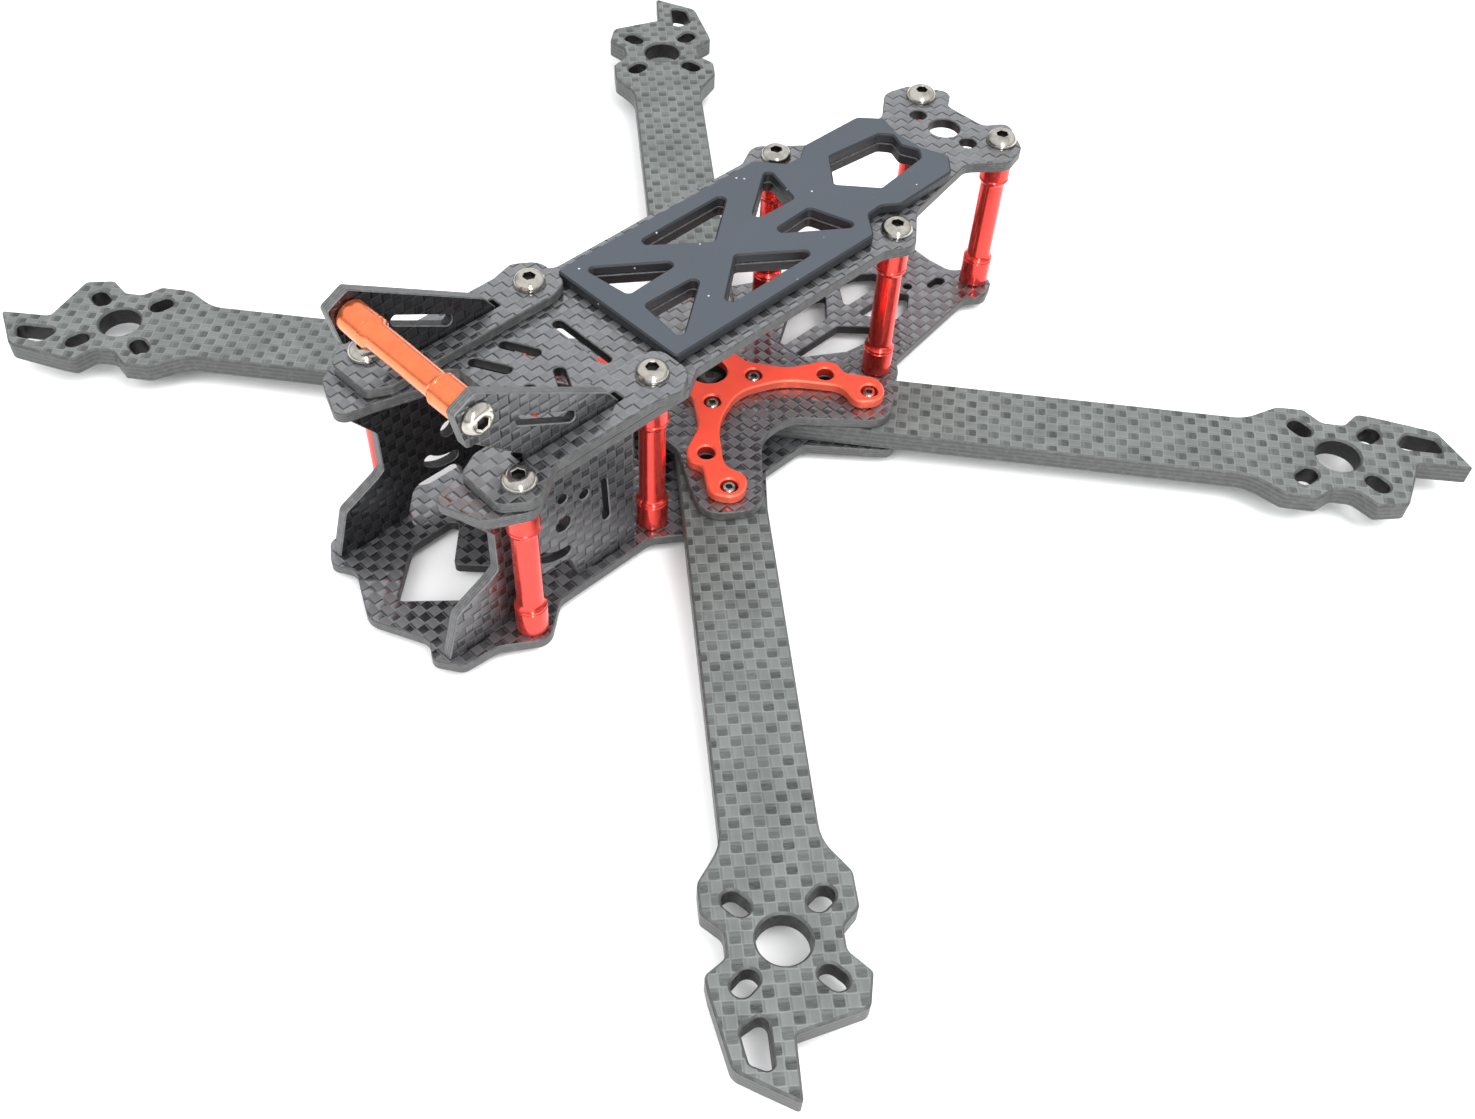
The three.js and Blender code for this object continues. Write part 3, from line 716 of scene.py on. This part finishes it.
NUT_QUARTER = [
    (3.0, -7.0, 3), (9.4, -11.4, 8), (12.2, -17.2, 2), (14.6, -19.2, 1.8), (17.2, -18.0, 2.2),
    (22.8, -21.9, 3), (27.9, -18.6, 3), (24.2, -13.6, 2.6), (19.8, -15.3, 4), (11.2, -8.5, 14),
    (8.4, -1.6, 8),
]
nut = plate_mesh("press_nut_plate_milled", rounded(around(NUT_QUARTER)),
                 [circle((0, 0), NUT_BORE_RADIUS, 64), *CORE_HOLES],
                 PLATE, SOFT_BEVEL, flat_at(Z_NUT), [NUT_RED, NUT_EDGE, NUT_BORE_SHADED, NUT_RED])
adopt(nut, "press_nut_plate")

# ---- Top plate ----
TOP_LEFT = [
    (8.2, -49.3, 1.2), (10.0, -51.4, 2), (8.3, -56, 3), (10.9, -64.6, 4), (12.2, -70.6, 2), (21.0, -67.1, 3),
    (24.6, -60, 3.4), (20.3, -53.4, 3), (20.3, -24.8, 2), (17.7, -20.6, 2), (17.7, 24.6, 2), (20.4, 29.8, 3),
    (13.6, 37.8, 3), (10.4, 55, 3), (15.6, 61.4, 3), (14.2, 66.8, 3), (7.2, 71.4, 2), (4.4, 67.2, 2),
]
PAD_WINDOWS = [
    rounded([(0, 30.3, 0.8), (6.4, 35.9, 1), (5.1, 48.0, 1.2), (3.1, 49.6, 1), (0, 48.3, 1),
             (-3.1, 49.6, 1), (-5.1, 48.0, 1.2), (-6.4, 35.9, 1)]),
    *pair([(2.3, 11.4, 0.9), (12.0, 25.0, 0.9), (1.9, 21.8, 0.9)]),
    *pair([(11.2, -8.4, 0.9), (11.2, 14.4, 0.9), (2.6, 2.7, 0.9)]),
    *pair([(2.0, -17.8, 0.9), (12.4, -19.0, 0.9), (2.4, -5.2, 0.9)]),
]
DECK_SLOTS = [slot((-5.9, -30), (5.9, -30), 2)]
for s in (1, -1):
    DECK_SLOTS.append(slot((s * 3.1, -37.4), (s * 7.9, -39.9), 2))
    DECK_SLOTS.append(slot((s * 3.0, -43.6), (s * 7.9, -46.3), 2))
TAIL_TOP = [circle((0, 61.0), ANTENNA_RADIUS, 56), *[circle(p, CLEARANCE) for p in two_ways((6.2, 60.6))]]
top = plate_mesh("top_plate_laminate", rounded(both_sides(TOP_LEFT)),
                 [*PAD_WINDOWS, *DECK_SLOTS, *TAIL_TOP, *tab_slots([HORN_SLOT]), *POST_HOLES],
                 PLATE, PLATE_BEVEL, flat_at(Z_TOP), LEVEL_CARBON)
adopt(top, "top_plate")

# ---- Battery pad ----
PAD_LEFT = [
    (14.9, -22.7, 1), (14.9, 24.6, 1.5), (10.2, 28.3, 1.5), (10.0, 31.8, 1.5), (12.1, 35, 1),
    (11.8, 48.9, 2), (8, 52.5, 1.2), (3, 50.7, 1),
]
pad = plate_mesh("battery_pad_sheet", rounded(both_sides(PAD_LEFT)), PAD_WINDOWS,
                 PLATE, SOFT_BEVEL, flat_at(Z_PAD), [PAD, PAD_EDGE, PAD_EDGE, PAD_EDGE])
adopt(pad, "battery_pad")

# ---- Deck prongs ----
PRONG = [
    (10.2, -60.5, 1.5), (12.2, -64.6, 1.5), (21.2, -64.8, 2.4), (24.8, -59.6, 3), (20.5, -53.2, 3),
    (20.5, -31.9, 1), (21.6, -27.4, 2), (18.8, -23.2, 3.5), (11.6, -23.2, 3), (10.2, -27.0, 2),
]
for hand, side in HANDS:
    node = "prong_" + hand
    corners = PRONG if side > 0 else mirror_x(PRONG)
    holes = [circle((side * x, y), CLEARANCE) for x, y in (POSTS["midfront"], POSTS["front"])]
    holes.append(tab_slots([HORN_SLOT])[0 if side > 0 else 1])
    piece = plate_mesh(node + "_laminate", rounded(corners), holes,
                       PLATE, PRONG_BEVEL, flat_at(Z_PAD), LEVEL_CARBON)
    adopt(piece, node)

# ---- Standoffs ----
# (radius, height) from the mouth of the bore over the collar and its groove to the waist
POST_END = [
    (1.65, 0.4), (2.0, 0.0), (2.45, 0.0), (2.8, 0.35), (2.8, 5.3), (2.66, 5.5), (2.8, 5.7), (2.8, 6.0),
    (2.32, 6.75), (2.3, 7.0),
]


def post_piece(node, length, lay, material):
    profile = POST_END + [(r, length - h) for r, h in reversed(POST_END)]
    adopt(turned_mesh(node + "_turned", profile, lay, [material], 56), node)


# ---- Screws ----
def hexagon_radius(angle, half):
    """Distance from a hexagon's centre to its side at an angle."""
    third = math.pi / 3
    return half / math.cos((angle % third) - third / 2)


def screw_piece(node, length, lay):
    """Button-head screw with a hexagon socket and rolled thread rings."""
    sides = 48
    pitch = 0.5
    tip = -length + 0.35
    turns = int((length - 1.0) / pitch)
    rings = [(0.55, tip + 0.3), (0.6, tip), (1.02, tip)]
    for k in range(turns):
        low = tip + 0.3 + k * pitch
        rings += [(1.3, low), (SHANK_RADIUS, low + pitch * 0.5)]
    rings += [(1.3, -0.25), (SHANK_RADIUS, 0.0)]
    head_steps = 7
    rings += [(HEAD_RADIUS - 0.1, 0.0), (HEAD_RADIUS, 0.12)]
    for k in range(head_steps + 1):
        a = math.radians(12 + 66 * k / head_steps)
        rings.append((HEAD_RADIUS * (0.45 + 0.56 * math.cos(a)),
                      HEAD_HEIGHT * math.sin(a) / math.sin(math.radians(78))))
    rings.append((1.30, HEAD_HEIGHT))
    vertices = []
    for radius, height in rings:
        for k in range(sides):
            a = 2 * math.pi * k / sides
            vertices.append(lay(radius * math.cos(a), radius * math.sin(a), height))
    socket = ((1.12, HEAD_HEIGHT - 0.02), (1.0, HEAD_HEIGHT - 0.14), (1.0, HEAD_HEIGHT - SOCKET_DEPTH))
    for shrink, height in socket:
        for k in range(sides):
            a = 2 * math.pi * k / sides
            r = hexagon_radius(a, SOCKET_HALF) * shrink
            vertices.append(lay(r * math.cos(a), r * math.sin(a), height))
    rows = len(rings) + len(socket)
    faces = []
    kinds = []
    for row in range(rows - 1):
        for k in range(sides):
            nxt = (k + 1) % sides
            low, high = row * sides, (row + 1) * sides
            faces.append((low + k, low + nxt, high + nxt, high + k))
            # kind 1, the screw's tip and its socket, takes the dark painted-shade copy of the steel
            kinds.append(1 if row == 0 or row >= len(rings) + 1 else 0)
    faces.append(tuple(reversed(range(sides))))
    kinds.append(1)
    pit = len(vertices)
    vertices.append(lay(0, 0, HEAD_HEIGHT - SOCKET_DEPTH - 0.25))
    for k in range(sides):
        faces.append(((rows - 1) * sides + k, (rows - 1) * sides + (k + 1) % sides, pit))
        kinds.append(1)
    adopt(finish_mesh(node + "_button", vertices, faces, kinds, [STEEL, SOCKET_SHADED], 28), node)


def upward(x, y, z, spin):
    c, s = math.cos(spin), math.sin(spin)
    return lambda a, b, h: (x + a * c - b * s, y + a * s + b * c, z + h)


def downward(x, y, z, spin):
    c, s = math.cos(spin), math.sin(spin)
    return lambda a, b, h: (x + a * c - b * s, y - a * s - b * c, z - h)


def sideways(x, y, z, side, spin=0.3):
    c, s = math.cos(spin), math.sin(spin)
    return lambda a, b, h: (x + side * h, y + side * (a * c - b * s), z + a * s + b * c)


count = 0                       # turns each screw's socket to another angle
for station, (px, py) in POSTS.items():
    seat = Z_PAD_TOP if station in ("midfront", "front") else Z_PAD
    for hand, side in HANDS:
        x = side * px
        count += 1
        post_piece(f"standoff_{station}_{hand}", STANDOFF, upward(x, py, Z_ARM, 0), STANDOFF_RED)
        screw_piece(f"screw_top_{station}_{hand}", seat - Z_TOP + THREAD, upward(x, py, seat, 0.37 * count))
        screw_piece(f"screw_bottom_{station}_{hand}", PLATE + THREAD, downward(x, py, Z_BOTTOM, 0.53 * count))

for where, (sx, sy) in CORNERS.items():
    for ring, (x, y) in (("inner", INNER_CLAMP), ("outer", OUTER_CLAMP)):
        count += 1
        screw_piece(f"screw_{ring}_{where}", Z_NUT + PLATE - Z_BOTTOM,
                    downward(sx * x, sy * y, Z_BOTTOM, 0.41 * count))

BAR_Z = Z_MID + HORN_BAR[1]
post_piece("horn_bar", 2 * CAGE_INNER, lambda a, b, h: (h - CAGE_INNER, HORN_BAR[0] - b, BAR_Z + a), BAR_RED)
for hand, side in HANDS:
    screw_piece(f"screw_horn_{hand}", PLATE + THREAD,
                sideways(side * (CAGE_INNER + PLATE), HORN_BAR[0], BAR_Z, side))

# ---- Floor, light and camera ----
FLOOR_REACH = 3.0               # metres from the middle to each side
floor_mesh = bpy.data.meshes.new("floor")
floor_corners = [(x * FLOOR_REACH, y * FLOOR_REACH, 0) for x, y in ((-1, -1), (1, -1), (1, 1), (-1, 1))]
floor_mesh.from_pydata(floor_corners, [], [(0, 1, 2, 3)])
floor = bpy.data.objects.new("floor", floor_mesh)
bpy.context.scene.collection.objects.link(floor)
floor.location.z = -0.03 * MM
paper = Graph("paper")
paper_grain = paper.noise(paper.place(), 40.0, 2.0)
paper_tone = paper.blend(paper.span(paper_grain, 0.3, 0.7), (0.93, 0.93, 0.93, 1), (0.95, 0.95, 0.95, 1))
floor_mesh.materials.append(paper.surface(Base_Color=paper_tone, Roughness=0.9, Specular_IOR_Level=0.1))

# The surroundings are darker at the horizon and bright overhead
world = bpy.data.worlds.new("studio")
bpy.context.scene.world = world
world.use_nodes = True
sky = world.node_tree
direction = sky.nodes.new("ShaderNodeTexCoord")
rise = sky.nodes.new("ShaderNodeSeparateXYZ")
ramp = sky.nodes.new("ShaderNodeMapRange")
ramp.interpolation_type = "SMOOTHSTEP"
ramp.inputs["From Min"].default_value = 0.0
ramp.inputs["From Max"].default_value = 0.38
ramp.inputs["To Min"].default_value = 0.40
ramp.inputs["To Max"].default_value = 1.12
sky.links.new(direction.outputs["Generated"], rise.inputs[0])
sky.links.new(rise.outputs[2], ramp.inputs["Value"])
sky.links.new(ramp.outputs["Result"], sky.nodes["Background"].inputs["Strength"])
sky.nodes["Background"].inputs["Color"].default_value = (0.98, 0.99, 1.0, 1)


def softbox(name, place, aim, size, watts, diffuse=True, glossy=True):
    data = bpy.data.lights.new(name, "AREA")
    data.shape = "RECTANGLE"
    data.size, data.size_y = size
    data.energy = watts
    lamp = bpy.data.objects.new(name, data)
    lamp.location = place
    lamp.rotation_mode = "QUATERNION"
    lamp.rotation_quaternion = (Vector(aim) - Vector(place)).to_track_quat("-Z", "Y")
    lamp.visible_diffuse = diffuse
    lamp.visible_glossy = glossy
    bpy.context.scene.collection.objects.link(lamp)


softbox("key", (0.45, 0.10, 0.75), (0.0, 0.0, 0.0), (0.6, 0.6), 7.0, glossy=False)
softbox("fill", (0.10, -0.60, 0.55), (0.0, -0.02, 0.02), (0.6, 0.6), 4.0, glossy=False)
softbox("strip", (0.45, -0.30, 0.30), (0.0, -0.02, 0.02), (0.07, 0.6), 2.2, diffuse=False)

camera = bpy.data.cameras.new("camera")
camera.sensor_width = 36.0
camera.lens = 37.39
camera.shift_x = 0.0483
camera.shift_y = 0.0606
camera.clip_start = 0.005
camera_object = bpy.data.objects.new("camera", camera)
camera_object.location = (0.15189, -0.15408, 0.20240)
camera_object.rotation_euler = Euler([math.radians(a) for a in (38.230, -0.508, 47.122)], "XYZ")
bpy.context.scene.collection.objects.link(camera_object)
bpy.context.scene.camera = camera_object
bpy.context.scene.view_settings.view_transform = "Standard"
